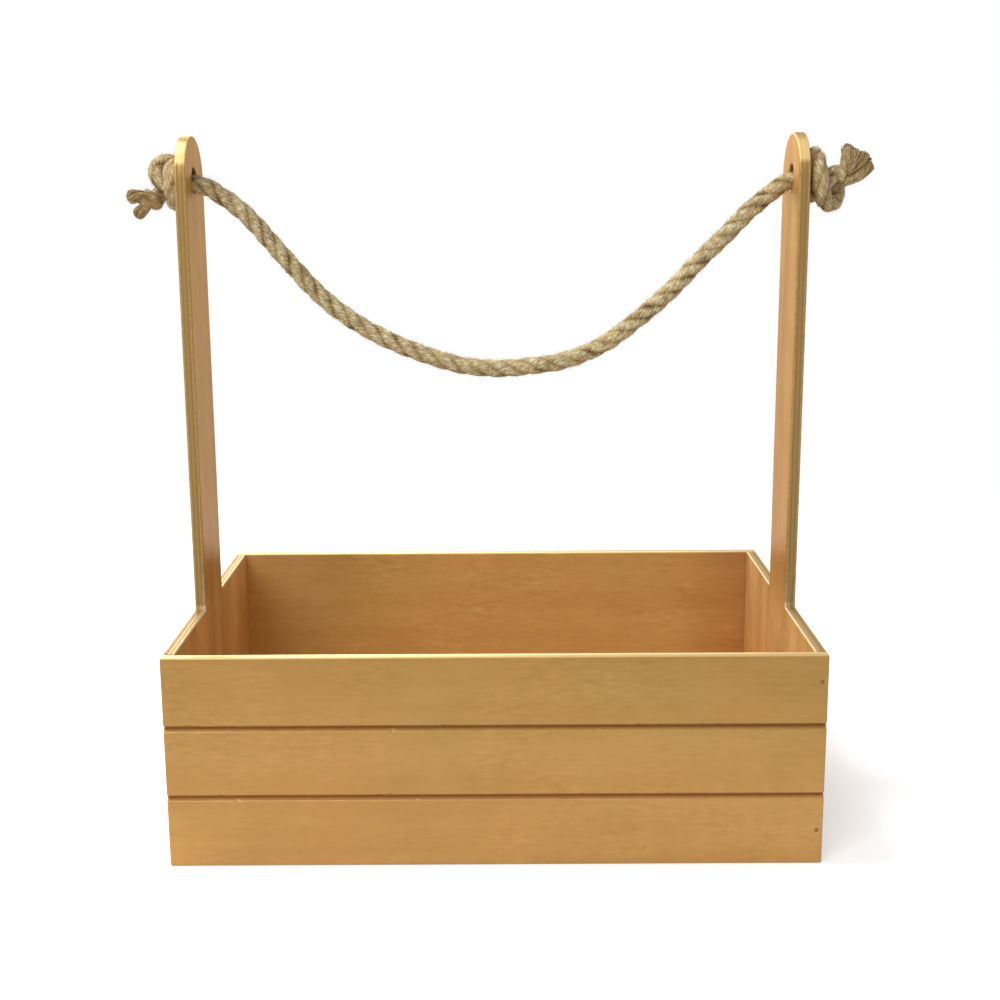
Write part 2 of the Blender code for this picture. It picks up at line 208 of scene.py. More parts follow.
# Studio
FLOOR_REACH = 30
FLOOR_DROP = 0.0002
FLOOR_FADE = (0.40, 0.95)
LAMP_AIM = (0, 0, 0.1)
LAMPS = (
    ("softbox_key", (-0.74, -1.50, 1.30), 1.2, 20.0),
    ("softbox_back", (-0.45, 1.75, 0.95), 0.8, 16.0),
    ("softbox_above", (-0.66, 0.10, 1.56), 0.6, 15.0),
)

# Tones, written as 0-255 screen values, and the inputs that they go to
PAINT_TONES = ("Light", "Dark", "Warm")
FRONT_COAT = ((188, 148, 86), (176, 134, 72), (200, 145, 80))
END_COAT = ((200, 153, 84), (166, 123, 61), (204, 146, 76))
BOTTOM_COAT = ((184, 140, 80), (168, 120, 64), (196, 134, 72))
# The first edge tone is a pale tone of wear and painted highlight on rims and arrises
EDGE_TONES = ("Rubbed", "Veneer", "Core", "Pooled")
# The last edge tone is paint gathered in the grooves, darkened further as painted shade
EDGE_COLOURS = ((227, 195, 134), (138, 108, 62), (118, 90, 48), (150, 100, 52))
# The jute's pale tone gathers on the strands' crowns as a painted highlight, and its groove tone is painted
# shade between them
JUTE_TONES = ("Pale", "Mid", "Dark", "Groove")
# The knots and the opened strands get darker copies of the jute, as painted shade
JUTES = {
    "jute": ((255, 250, 214), (209, 179, 120), (134, 96, 48), (94, 54, 22)),
    "knot_jute": ((250, 240, 200), (203, 169, 112), (130, 90, 46), (84, 48, 20)),
    "loose_jute": ((206, 184, 138), (158, 130, 86), (98, 70, 38), (52, 30, 14)),
}

# Painted light and shade, which multiply the paint's colour: the long panels' outer faces lighter at the
# foot and darker at the rim, the inner faces lighter, the uprights' inner faces a little darker, and
# painted shade at the long panels' inner right ends. An input without one stays white
FACE_PAINTED_LIGHT = ("Outside Low", "Outside High", "Inside Low", "Inside High", "End Shade")
FRONT_PAINTED_LIGHT = {
    "Outside Low": (1.08, 1.04, 1.14), "Outside High": (0.80, 0.80, 0.82),
    "Inside Low": (1.36, 1.53, 1.80), "Inside High": (1.36, 1.53, 1.80), "End Shade": (0.78, 0.66, 0.70),
}
END_PAINTED_LIGHT = {"Inside Low": (1.53, 1.80, 2.66), "Inside High": (0.99, 0.97, 0.90)}
WHITE = (1.0, 1.0, 1.0, 1.0)

# How many times finer the paint's pattern is along each axis, where the grain lies flat or stands up
FLAT_GRAIN = (0.07, 1.0, 1.0)
UPRIGHT_GRAIN = (1.0, 1.0, 0.07)


def linked(name, data):
    """A new object in the scene."""
    made = bpy.data.objects.new(name, data)
    bpy.context.scene.collection.objects.link(made)
    return made


def add_camera():
    """The photograph's view: from about the rope holes' height, looking a little down."""
    yaw, pitch, roll = (math.radians(angle) for angle in (CAMERA_YAW, CAMERA_PITCH, CAMERA_ROLL))
    forward = Vector((math.sin(yaw) * math.cos(pitch), math.cos(yaw) * math.cos(pitch), -math.sin(pitch)))
    level_right = Vector((math.cos(yaw), -math.sin(yaw), 0))
    level_up = level_right.cross(forward)
    right = math.cos(roll) * level_right + math.sin(roll) * level_up
    up = -math.sin(roll) * level_right + math.cos(roll) * level_up
    data = bpy.data.cameras.new("camera")
    data.sensor_width = CAMERA_SENSOR
    data.lens = CAMERA_LENS
    camera = linked("camera", data)
    turn = Matrix((right, up, -forward)).transposed().to_4x4()
    camera.matrix_world = Matrix.Translation(CAMERA_PLACE) @ turn
    bpy.context.scene.camera = camera


# ---- node wiring ----

class Signal:
    """A node's output. Each sign in a sum of signals and numbers places one Math node."""

    def __init__(self, wiring, socket):
        self.wiring = wiring
        self.socket = socket

    def __add__(self, other):
        return self.wiring.math("ADD", self, other)

    def __radd__(self, other):
        return self.wiring.math("ADD", other, self)

    def __sub__(self, other):
        return self.wiring.math("SUBTRACT", self, other)

    def __rsub__(self, other):
        return self.wiring.math("SUBTRACT", other, self)

    def __mul__(self, other):
        return self.wiring.math("MULTIPLY", self, other)

    def __truediv__(self, other):
        return self.wiring.math("DIVIDE", self, other)


class Wiring:
    """Places nodes in one tree and joins them. Any input takes a plain value or a signal."""

    def __init__(self, tree):
        self.tree = tree

    def fill(self, node, *values, **named):
        """Feeds a node's inputs in order, or by name with _ for a space. A name that starts with a
        small letter is a setting of the node."""
        for key, value in named.items():
            if key[0].islower():
                setattr(node, key, value)
        feeds = list(zip(node.inputs, values))
        for key, value in named.items():
            if key[0].isupper():
                label = key.replace("_", " ")
                live = [socket for socket in node.inputs if socket.enabled and socket.name == label]
                feeds.append((live[0] if live else node.inputs[label], value))
        for socket, value in feeds:
            if isinstance(value, Signal):
                self.tree.links.new(value.socket, socket)
            else:
                socket.default_value = value
        return node

    def node(self, kind, *values, **named):
        return self.fill(self.tree.nodes.new(kind), *values, **named)

    def outs(self, kind, *values, **named):
        """All outputs of a new node, by name."""
        node = self.node(kind, *values, **named)
        return {socket.name: Signal(self, socket) for socket in node.outputs}

    def out(self, kind, *values, take=None, **named):
        """One output of a new node: the one that take names, or else the first live one."""
        outputs = self.node(kind, *values, **named).outputs
        return Signal(self, outputs[take] if take else next(s for s in outputs if s.enabled))

    def geo(self, kind, *values, **named):
        return self.out("GeometryNode" + kind, *values, **named)

    def group(self, tree, **named):
        return self.outs("ShaderNodeGroup", node_tree=tree, **named)

    def math(self, operation, *values):
        return self.out("ShaderNodeMath", *values, operation=operation)

    def vector(self, operation, *values, **named):
        return self.out("ShaderNodeVectorMath", *values, operation=operation, **named)

    def scaled(self, vector, factor):
        return self.vector("SCALE", vector, Scale=factor)

    def stretched(self, vector, factors):
        return self.out("ShaderNodeMapping", vector, Scale=factors)

    def combine(self, x, y, z):
        return self.out("ShaderNodeCombineXYZ", x, y, z)

    def noise(self, vector, scale, detail=2.0, roughness=0.5, take="Fac"):
        look = {"Scale": scale, "Detail": detail, "Roughness": roughness}
        return self.out("ShaderNodeTexNoise", Vector=vector, take=take, **look)

    def wander(self, vector, scale, detail):
        """A smooth random vector round zero."""
        return self.vector("SUBTRACT", self.noise(vector, scale, detail, take="Color"), (0.5, 0.5, 0.5))

    def ramp(self, value, low, high):
        """0 at low, 1 at high, with soft ends."""
        return self.out("ShaderNodeMapRange", value, low, high, interpolation_type="SMOOTHSTEP")

    def blend(self, share, first, second):
        return self.out("ShaderNodeMix", data_type="RGBA", Factor=share, A=first, B=second)

    def bump(self, height, strength, distance):
        return self.out("ShaderNodeBump", Height=height, Strength=strength, Distance=distance)

    def attribute(self, key, take="Fac"):
        return self.out("ShaderNodeAttribute", attribute_name=key, take=take)

    def place(self):
        return self.out("ShaderNodeTexCoord", take="Object")

    def stored(self, geometry, name, value, kind="FLOAT", domain="POINT"):
        """The geometry with a named attribute added."""
        feeds = {"Name": name, "Value": value}
        return self.geo("StoreNamedAttribute", geometry, data_type=kind, domain=domain, **feeds)

    def named(self, name, kind="FLOAT"):
        return self.geo("InputNamedAttribute", name, data_type=kind)

    def tube(self, curve, sides, radius, girth):
        """A mesh round a curve: a ring of this radius, times girth at each point."""
        ring = self.geo("CurvePrimitiveCircle", Resolution=sides, Radius=radius)
        return self.geo("CurveToMesh", curve, ring, Scale=girth, Fill_Caps=True)


def socket_type(label, value):
    """Three kinds of socket are known by their label, the others by their value's type."""
    kinds = {int: "Int", float: "Float", tuple: "Color", type(None): "Vector"}
    return "NodeSocket" + (label if label in ("Geometry", "Material", "Color") else kinds[type(value)])


def new_tree(name, kind, inputs, outputs):
    """A node tree's wiring, and the signals that come into it."""
    tree = bpy.data.node_groups.new(name, kind)
    for label, value in inputs.items():
        made = tree.interface.new_socket(label, in_out="INPUT", socket_type=socket_type(label, value))
        if value is not None:
            made.default_value = value
    for label in outputs:
        tree.interface.new_socket(label, in_out="OUTPUT", socket_type=socket_type(label, 0.0))
    w = Wiring(tree)
    return w, w.outs("NodeGroupInput")


def geometry_tree(name, inputs):
    inputs = {"Geometry": None, **inputs, "Material": None}
    return new_tree(name, "GeometryNodeTree", inputs, ("Geometry",))


def end_tree(w, start, geometry):
    """Every geometry tree's last nodes: real geometry in its material, smooth shaded."""
    geometry = w.geo("RealizeInstances", geometry)
    geometry = w.geo("SetShadeSmooth", geometry)
    geometry = w.geo("SetMaterial", geometry, Material=start["Material"])
    w.node("NodeGroupOutput", geometry)
    return w.tree


def grown(name, source, tree, values):
    """The plain mesh that a geometry tree makes from an object, which is then removed."""
    bpy.context.scene.collection.objects.link(source)
    modifier = source.modifiers.new(tree.name, "NODES")
    modifier.node_group = tree
    sockets = {item.name: item.identifier for item in tree.interface.items_tree if item.in_out == "INPUT"}
    for label, value in values.items():
        modifier[sockets[label]] = value
    bpy.context.view_layer.update()
    evaluated = source.evaluated_get(bpy.context.evaluated_depsgraph_get())
    mesh = bpy.data.meshes.new_from_object(evaluated)
    source.modifiers.remove(modifier)
    bpy.data.objects.remove(source, do_unlink=True)
    mesh.name = name
    return linked(name, mesh)


# ---- rope ----

def smooth_route(points, spacing):
    """Even points along a smooth curve through the given points."""
    points = [Vector(p) for p in points]
    padded = [2 * points[0] - points[1], *points, 2 * points[-1] - points[-2]]
    dense = []
    for a, b, c, d in zip(padded, padded[1:], padded[2:], padded[3:]):
        for k in range(CURVE_STEPS):
            t = k / CURVE_STEPS
            bend = 2 * a - 5 * b + 4 * c - d + t * (3 * b - 3 * c + d - a)
            dense.append(b + 0.5 * t * (c - a + t * bend))
    dense = np.array([*dense, points[-1]])
    travelled = np.concatenate([[0], np.cumsum(np.linalg.norm(np.diff(dense, axis=0), axis=1))])
    even = np.linspace(0, travelled[-1], max(3, round(travelled[-1] / spacing) + 1))
    return np.stack([np.interp(even, travelled, dense[:, k]) for k in range(3)], axis=1)


def line_object(name, routes, sizes, shades=(0.0,)):
    """Open curves through the routes' points. A point's radius is the rope's diameter there, and its
    tilt carries how much painted shade darkens the yarns."""
    curve = bpy.data.curves.new(name, "CURVE")
    curve.dimensions = "3D"
    for route, diameters, shade in zip(routes, sizes, shades):
        spline = curve.splines.new("POLY")
        spline.points.add(len(route) - 1)
        spline.points.foreach_set("co", np.column_stack([route, np.ones(len(route))]).ravel())
        spline.points.foreach_set("radius", np.broadcast_to(diameters, len(route)).astype(float))
        spline.points.foreach_set("tilt", np.full(len(route), shade))
    return bpy.data.objects.new(name + "_line", curve)


def rope_section(w, around, strand_radius, strand_offset):
    """Distance from the rope's middle to the skin of three laid strands, and the angle on the
    strand, for a rope one unit thick."""
    third = w.math("WRAP", around, math.pi / 3, -math.pi / 3)
    sine = w.math("SINE", third)
    cosine = w.math("COSINE", third)
    across = sine * strand_offset
    inside = strand_radius * strand_radius - across * across
    reach = cosine * strand_offset + w.math("SQRT", w.math("MAXIMUM", inside, 0.0))
    return reach, w.math("ARCTAN2", reach * sine, reach * cosine - strand_offset)


def laid_rope_tree():
    """Three strands laid to the right round the line, each of many yarns."""
    w, start = geometry_tree("laid_rope", {
        "Lay Length": LAY_LENGTH, "Start": 0.0, "Ring Points": RING_POINTS, "Strand Radius": 0.383,
        "Strand Offset": 0.130, "Crown Reach": 0.513, "Yarns": 12.0, "Yarn Slip": 1.85,
        "Yarn Relief": 0.00042, "Hairiness": 0.00075, "Swell": 0.14, "Fold Shade": 8.5, "Yarn Shade": 0.55,
    })
    travelled = w.geo("SplineParameter", take="Length") + start["Start"]
    turn = travelled * math.tau / start["Lay Length"]
    curve = w.geo("SetCurveTilt", start["Geometry"], Tilt=turn)
    curve = w.stored(curve, "middle", w.geo("InputPosition"), "FLOAT_VECTOR")
    curve = w.stored(curve, "travelled", travelled)
    curve = w.stored(curve, "thickness", w.geo("InputRadius"))
    curve = w.geo("SetCurveRadius", curve, Radius=1.0)
    # A thin tube, whose points say only which way is out
    ring = w.geo("CurvePrimitiveCircle", Resolution=start["Ring Points"], Radius=0.001)
    ring = w.stored(ring, "around", w.geo("InputIndex") / start["Ring Points"] * math.tau)
    skin = w.geo("CurveToMesh", curve, ring, Fill_Caps=True)

    middle = w.named("middle", "FLOAT_VECTOR")
    travelled = w.named("travelled")
    around = w.named("around")
    outward = w.vector("NORMALIZE", w.vector("SUBTRACT", w.geo("InputPosition"), middle))
    reach, on_strand = rope_section(w, around, start["Strand Radius"], start["Strand Offset"])
    slip = travelled * start["Yarn Slip"] / start["Lay Length"]
    yarn = (on_strand / math.tau + slip) * start["Yarns"]
    strand = w.math("MODULO", w.math("FLOOR", around / (math.tau / 3) + 0.5), 3.0)
    uneven = w.noise(w.combine(yarn * 0.35, travelled * 160.0, strand * 7.0), 1.0) - 0.5
    ridge = w.math("ABSOLUTE", w.math("SINE", (yarn + uneven * 1.6) * math.pi))
    lumps = w.noise(w.combine(yarn * 3.0, travelled * 330.0, strand * 9.0), 1.0, 3.0, 0.65) - 0.5
    swell = w.noise(w.combine(travelled * 95.0, strand * 5.0, 0.0), 1.0, 1.0) - 0.5
    reach = reach * (swell * start["Swell"] + 0.99)
    relief = (ridge - 0.75) * start["Yarn Relief"] + lumps * start["Hairiness"]
    height = reach * w.named("thickness") + relief
    # The groove mask, darkened in the jute as painted shade in the folds between strands and between yarns
    fold = (start["Crown Reach"] - reach) * start["Fold Shade"]
    skin = w.stored(skin, "groove", fold + (1.0 - ridge) * start["Yarn Shade"])
    fibre = w.combine(yarn / start["Yarns"], travelled, strand)
    skin = w.stored(skin, "fibre", fibre, "FLOAT_VECTOR")
    moved = w.vector("ADD", middle, w.scaled(outward, height))
    return end_tree(w, start, w.geo("SetPosition", skin, Position=moved))


def opened_strand_tree():
    """A strand's cut end as a bundle of loose yarns, as thick as the line's own radius says."""
    w, start = geometry_tree("opened_strand", {
        "Yarns": 150, "Yarn Diameter": 0.00074, "Twist": 1.5, "Untidiness": 0.0006, "Stray": 0.45,
        "Orderly Share": 0.86, "Tip Reach": TIP_REACH, "Raggedness": 0.0005, "Thinning": 0.35, "Seed": 5,
    })
    amount = start["Yarns"]
    copies = w.outs("GeometryNodeDuplicateElements", start["Geometry"], Amount=amount, domain="SPLINE")
    yarns = w.stored(copies["Geometry"], "yarn", copies["Duplicate Index"], domain="CURVE")
    which = w.named("yarn")

    def chance(low, high, stream):
        """A number of each yarn's own."""
        return w.out("FunctionNodeRandomValue", Min=low, Max=high, ID=which, Seed=start["Seed"] + stream)

    share = w.geo("SplineParameter", take="Factor")
    ease = w.ramp(share, 0.0, 1.0)
    width = w.geo("InputRadius")
    from_middle = w.math("SQRT", chance(0.02, 1.0, 0))
    stray = w.math("GREATER_THAN", chance(0.0, 1.0, 6), start["Orderly Share"]) * (ease * start["Stray"])
    out = (width * 0.5 - start["Yarn Diameter"]) * from_middle * (1.0 + stray)
    turn = chance(0.0, math.tau, 1) + share * start["Twist"]
    normal = w.geo("InputNormal", take="Normal")
    side = w.vector("CROSS_PRODUCT", normal, w.geo("InputTangent"))
    offset = w.scaled(normal, w.math("COSINE", turn) * out)
    offset = w.vector("ADD", offset, w.scaled(side, w.math("SINE", turn) * out))
    drift = w.vector("ADD", w.geo("InputPosition"), w.combine(which * 0.37, 0.0, 0.0))
    loose = start["Untidiness"] * (ease * 2.0)
    offset = w.vector("ADD", offset, w.scaled(w.wander(drift, 330.0, 2.0), loose))
    yarns = w.geo("SetPosition", yarns, Offset=offset)
    domed = 1.0 - w.math("SQRT", 1.0 - from_middle * from_middle)
    worn = domed * start["Tip Reach"] * width
    length = w.geo("SplineLength", take="Length") - worn - chance(0.0, start["Raggedness"], 2)
    yarns = w.geo("TrimCurve", yarns, Start=0.0, End=length, mode="LENGTH")
    girth = chance(0.6, 1.0, 3) * (1.0 - w.math("POWER", share, 6.0) * start["Thinning"])
    tone = w.combine(chance(0.0, 1.0, 4), w.geo("SplineParameter", take="Length"), 3.0)
    # Each yarn's own random darkness, and painted shade carried by the line's tilt
    yarns = w.stored(yarns, "groove", chance(0.0, 0.75, 5) + w.geo("InputCurveTilt"))
    yarns = w.stored(yarns, "fibre", tone, "FLOAT_VECTOR")
    yarns = w.geo("SetCurveRadius", yarns, Radius=1.0)
    return end_tree(w, start, w.tube(yarns, 5, start["Yarn Diameter"] * 0.5, girth))


def stray_fibre_tree():
    """Short curled fibres that stand off a rope's skin."""
    w, start = geometry_tree("stray_fibres", {
        "Density": ROPE_FIBRES, "Length": 0.0017, "Fibre Diameter": 0.00011, "Taper": 0.6, "Lift": 0.55,
        "Curl": 0.0010, "Seed": 3,
    })
    feeds = {"Density": start["Density"], "Seed": start["Seed"], "distribute_method": "RANDOM"}
    spots = w.outs("GeometryNodeDistributePointsOnFaces", start["Geometry"], **feeds)
    limits = {"Min": (-1, -1, -1), "Max": (1, 1, 1)}
    any_way = w.out("FunctionNodeRandomValue", data_type="FLOAT_VECTOR", Seed=start["Seed"], **limits)
    facing = w.vector("ADD", any_way, w.scaled(spots["Normal"], start["Lift"]))
    facing = w.out("FunctionNodeAlignRotationToVector", Vector=facing)
    size = start["Length"] * w.out("FunctionNodeRandomValue", Min=0.3, Max=1.2, Seed=9)
    stem = w.geo("CurvePrimitiveLine", Start=(0, 0, 0), End=(0, 0, 1))
    stem = w.geo("ResampleCurve", stem, Count=4)
    fibres = w.geo("InstanceOnPoints", spots["Points"], Instance=stem, Rotation=facing, Scale=size)
    fibres = w.geo("RealizeInstances", fibres)
    share = w.geo("SplineParameter", take="Factor")
    bend = w.scaled(w.wander(w.geo("InputPosition"), 420.0, 1.0), start["Curl"] * (share * 2.0))
    fibres = w.geo("SetPosition", fibres, Offset=bend)
    girth = 1.0 - share * start["Taper"]
    return end_tree(w, start, w.tube(fibres, 3, start["Fibre Diameter"] * 0.5, girth))


def knot_place(side, out, back, up):
    """A place out from a panel's outer face, backwards, and up from the rope line."""
    return Vector((side * (LENGTH / 2 + out), back, ROPE_LINE + up))


def tail_place(side, place):
    return knot_place(side, *(ROPE_DIAMETER * v for v in place))


def knot_points(side, route, turn, rise, tail):
    """The route's points from inside the hole, through the knot, to the end of the tail."""
    points = [knot_place(side, -PLY / 2 + SEAM / 2, 0, 0), knot_place(side, 0, 0, rise * RISE_AT_PANEL)]
    for out, radius, angle in route:
        around = turn + math.radians(angle)
        back = KNOT_ROPE_DIAMETER * radius * math.sin(around)
        up = KNOT_ROPE_DIAMETER * radius * math.cos(around) + rise
        points.append(knot_place(side, KNOT_ROPE_DIAMETER * out, back, up))
    return points + [tail_place(side, place) for place in tail]


def opened_line(side, root, cut_end, shade, places):
    """A strand's line with a straight tip, its diameter along the line, and its painted shade."""
    line = smooth_route([tail_place(side, place) for place in places], STRAND_SPACING)
    onward = (line[-1] - line[-2]) / np.linalg.norm(line[-1] - line[-2])
    tip = np.linspace(0, TIP_REACH * cut_end, TIP_POINTS + 1)[1:]
    size = np.concatenate([np.linspace(root, cut_end, len(line)), np.full(TIP_POINTS, cut_end)])
    return np.concatenate([line, line[-1] + tip[:, None] * onward]), size, shade


def press_together(piece, route, side):
    """Flatten the rope where one of its turns lies against another, and against the panel."""
    mesh = piece.data
    count = len(mesh.vertices)
    co = np.empty(count * 3)
    mesh.vertices.foreach_get("co", co)
    co = co.reshape(-1, 3)
    ring = np.minimum(np.arange(count) // RING_POINTS, len(route) - 1)
    places = np.arange(len(route))
    apart = round(TURN_APART / RING_SPACING)
    for k, here in enumerate(route):
        mine = np.nonzero(ring == k)[0]
        others = np.concatenate([places[:max(0, k - apart)], places[k + apart:]])
        away = np.linalg.norm(route[others] - here, axis=1)
        for j in others[away < ROPE_DIAMETER * PRESS_REACH][::PRESS_STRIDE]:
            across = route[j] - here
            span = np.linalg.norm(across)
            across /= span
            over = (co[mine] - here) @ across - (span / 2 - PRESS_GAP)
            co[mine] -= np.clip(over, 0, None)[:, None] * across
    face = LENGTH / 2 + PANEL_GAP
    beyond = np.hypot(co[:, 1], co[:, 2] - HOLE_HEIGHT) > HOLE_DIAMETER / 2
    low = beyond & (np.abs(co[:, 0]) < face)
    co[low, 0] = side * face
    mesh.vertices.foreach_set("co", co.ravel())
    mesh.update()


def hanging_route():
    """The hanging stretch's line, which runs level inside the holes."""
    half_span = LENGTH / 2 - PLY
    end = LENGTH / 2 - PLY / 2 - SEAM / 2
    hanging = [(share * half_span, 0, ROPE_LINE - drop) for share, drop in ROPE_ROUTE]
    route = smooth_route([(-half_span, 0, ROPE_LINE), *hanging, (half_span, 0, ROPE_LINE)], RING_SPACING)
    straight = np.arange(half_span + RING_SPACING, end, RING_SPACING)
    level = np.column_stack([straight, np.zeros(len(straight)), np.full(len(straight), ROPE_LINE)])
    return np.concatenate([level[::-1] * (-1, 1, 1), route, level])


def make_rope(jute, knot_jute, loose_jute):
    """The hanging stretch, the two knots with their opened ends, and the stray fibres."""
    rope_tree = laid_rope_tree()
    strand_tree = opened_strand_tree()
    fibre_tree = stray_fibre_tree()
    route = hanging_route()
    laid = {"Lay Length": LAY_LENGTH, "Ring Points": RING_POINTS, "Material": jute}
    span = grown("rope_span", line_object("rope_span", [route], [ROPE_DIAMETER]), rope_tree, laid)
    pieces = [span]
    laid.update({"Start": KNOT_LAY_START, "Material": knot_jute})
    for name, side, knot_route, turn, rise, tail, strands, fray in KNOTS:
        line = smooth_route(knot_points(side, knot_route, turn, rise, tail), RING_SPACING)
        along = np.arange(len(line)) * RING_SPACING
        thick = np.interp(along, KNOT_THINNING, (ROPE_DIAMETER, KNOT_SKIN_DIAMETER))
        knot = grown(f"{name}_knot_rope", line_object(name, [line], [thick]), rope_tree, laid)
        press_together(knot, line, side)
        opened = zip(*(opened_line(side, *strand) for strand in strands))
        source = line_object(f"{name}_strands", *opened)
        values = {"Material": loose_jute, **fray}
        strands_piece = grown(f"{name}_opened_strands", source, strand_tree, values)
        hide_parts(f"{name}_knot")
        pieces += [knot, strands_piece]
    for source in list(pieces):
        copy = bpy.data.objects.new(source.name + "_copy", source.data.copy())
        density = STRAND_FIBRES if "strands" in source.name else ROPE_FIBRES
        values = {"Material": loose_jute, "Density": density}
        pieces.append(grown(source.name + "_fibres", copy, fibre_tree, values))
    for piece in pieces:
        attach(piece, "rope")
    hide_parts("rope_handle")


# ---- materials ----

def gold_paint_group():
    """Satin gold paint brushed thinly over plywood, so that its grain shows through."""
    inputs = {"Vector": None, "Along Grain": None, "Mottle": 0.22, **dict.fromkeys(PAINT_TONES, WHITE)}
    w, start = new_tree("gold_paint", "ShaderNodeTree", inputs, ("Color", "Roughness", "Height"))
    place = start["Vector"]
    along = start["Along Grain"]
    short = w.vector("ADD", w.scaled(along, 0.8), w.scaled(place, 0.2))
    cloud = w.noise(place, 16.0, 2.0, 0.45)
    patch = w.noise(place, 40.0, 4.0, 0.6)
    streak = w.noise(along, 55.0, 4.0, 0.6)
    pores = w.noise(short, 480.0, 3.0, 0.65)
    bristle = w.noise(along, 900.0, 1.0, 0.5)
    ripple = w.noise(short, 330.0, 3.0, 0.7)
    open_grain = w.ramp(w.noise(place, 22.0, 3.0, 0.55), 0.47, 0.62)
    colour = w.blend(w.ramp(streak * 0.7 + patch * 0.3, 0.30, 0.70), start["Dark"], start["Light"])
    colour = w.blend(w.ramp(cloud, 0.38, 0.68) * start["Mottle"], colour, start["Warm"])
    shade = (pores - 0.5) * (0.20 + open_grain * 0.40) + 1.0
    specks = w.ramp(ripple, 0.60, 0.72) * open_grain * 0.11
    colour = w.scaled(colour, shade + specks)
    height = pores * 0.65 + bristle * 0.25 + ripple * open_grain * 0.5
    w.node("NodeGroupOutput", Color=colour, Roughness=0.34 + streak * 0.16, Height=height)
    return w.tree


def sheet_edge_group():
    """Arrises in a pale tone of wear and painted highlight, the plies on a sheet's edge, and dark paint
    gathered in grooves with painted shade.
    """
    inputs = {
        "Color": WHITE, "Roughness": 0.4, "Height": 0.5, "Vector": None,
        "Edge": 0.0, "Through": 0.0, "Rim": 0.0, "Groove": 0.0, "Raw": 0.0,
        **dict.fromkeys(EDGE_TONES, WHITE),
    }
    w, start = new_tree("sheet_edge", "ShaderNodeTree", inputs, ("Color", "Roughness", "Height"))
    place = start["Vector"]
    grit = w.noise(place, 420.0, 3.0, 0.6)
    wobble = (w.noise(place, 45.0) - 0.5) * 0.10
    depth = w.math("ABSOLUTE", start["Through"] + wobble)
    core = 1.0 - w.ramp(w.math("ABSOLUTE", depth - 0.21), 0.05, 0.11)
    ragged = (w.noise(place, 300.0, 3.0, 0.6) - 0.5) * 1.2
    raw = w.ramp(start["Raw"] + ragged * (1.0 - start["Raw"]), 0.2, 0.9)
    core = core * (raw * 0.7 + 0.2)
    core = core * (w.ramp(start["Edge"], 0.5, 1.0) * w.ramp(grit, 0.2, 0.6))
    # The rims' pale tone, here and on the whole edge band below, is wear together with a painted highlight
    rubbed_highlight = w.ramp(start["Rim"], 0.25, 1.0) * w.ramp(grit, 0.25, 0.65)
    # The grooves' dark tone is gathered paint together with painted shade
    pooled_shade = w.ramp(start["Groove"], 0.35, 0.95)
    colour = w.blend(w.ramp(start["Edge"], 0.3, 1.0) * 0.85, start["Color"], start["Rubbed"])
    colour = w.blend(raw * 0.9, colour, start["Veneer"])
    colour = w.blend(rubbed_highlight * 0.25, colour, start["Rubbed"])
    colour = w.blend(core * 0.45, colour, start["Core"])
    colour = w.blend(pooled_shade, colour, start["Pooled"])
    rough = start["Roughness"] + core * 0.2 + pooled_shade * 0.3
    w.node("NodeGroupOutput", Color=colour, Roughness=rough, Height=start["Height"] - core * 0.7)
    return w.tree


def painted_face_light_group():
    """Multiplies a panel's colour by painted light and shade: its outer face from its foot to its rim,
    its inner face from below the rim to above it, and painted shade deepening the inner face's right end."""
    inputs = {"Color": WHITE, "Vector": None, "Through": 0.0, **dict.fromkeys(FACE_PAINTED_LIGHT, WHITE)}
    w, start = new_tree("face_tint", "ShaderNodeTree", inputs, ("Color",))
    sides = w.outs("ShaderNodeSeparateXYZ", start["Vector"])
    up_wall = w.out("ShaderNodeMapRange", sides["Z"], 0.0, WALL_HEIGHT)
    past_rim = w.ramp(sides["Z"], WALL_HEIGHT * 0.9, WALL_HEIGHT * 1.25)
    inner = w.ramp(start["Through"], 0.1, -0.3)
    # Painted light and shade: the outer face changes from its foot to its rim, the inner face past the rim
    outside = w.blend(up_wall, start["Outside Low"], start["Outside High"])
    inside = w.blend(past_rim, start["Inside Low"], start["Inside High"])
    colour = w.vector("MULTIPLY", start["Color"], w.blend(inner, outside, inside))
    # Painted shade that darkens the inner face towards its right end
    painted_corner_shade = w.ramp(sides["X"], LENGTH * 0.32, LENGTH * 0.49) * inner
    w.node("NodeGroupOutput", w.vector("MULTIPLY", colour, w.blend(painted_corner_shade, WHITE, start["End Shade"])))
    return w.tree


